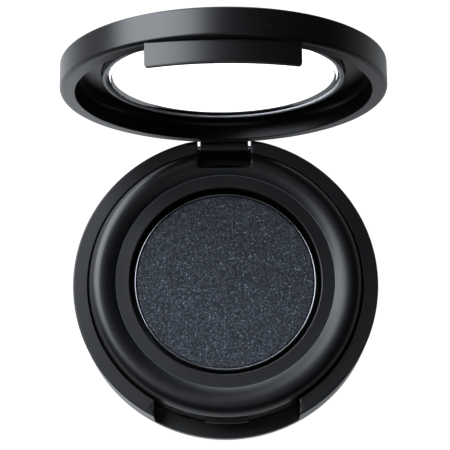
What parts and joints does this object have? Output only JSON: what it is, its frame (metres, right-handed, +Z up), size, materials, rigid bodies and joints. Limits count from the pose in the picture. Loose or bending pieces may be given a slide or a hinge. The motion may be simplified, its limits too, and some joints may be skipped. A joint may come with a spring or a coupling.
{
  "type": "eyeshadow compact",
  "caption": "Round pressed-powder compact: flat base with a raised ring round a metal pan, and a hinged ring lid with a clear window and a snap tongue.",
  "frame": {"origin": "on the axis of the round base, at its underside", "axes": "+Z up out of the pan, -Y towards the front notch, +Y towards the hinge, +X to the right as seen from the front"},
  "size_m": [0.0446, 0.0485, 0.049],
  "materials": {
    "base_plastic": "satin black moulded plastic",
    "frame_plastic": "satin black moulded plastic",
    "pan_metal": "bright pressed rim",
    "pressed_powder": "pressed charcoal powder with fine silver sparkle",
    "glue": "cured glue",
    "label_paper": "blank coated label",
    "pin_steel": "drawn steel wire",
    "lid_plastic": "satin black moulded plastic",
    "clear_window": "clear polished plastic",
    "ring_plastic": "pale translucent moulded plastic"
  },
  "bodies": {
    "base": {"base_shell": "base_plastic", "inner_frame": "frame_plastic", "pan": "pan_metal", "powder": "pressed_powder", "pan_adhesive": "glue", "underside_label": "label_paper", "hinge_pin": "pin_steel"},
    "lid": {"lid_shell": "lid_plastic", "window": "clear_window", "window_ring": "ring_plastic"}
  },
  "joints": [
    {"name": "lid_hinge", "type": "hinge", "parent": "base", "child": "lid", "pos_m": [0, 0.02089, 0.00562], "axis": [1, 0, 0], "range_deg": [0, 87.02]}
  ]
}
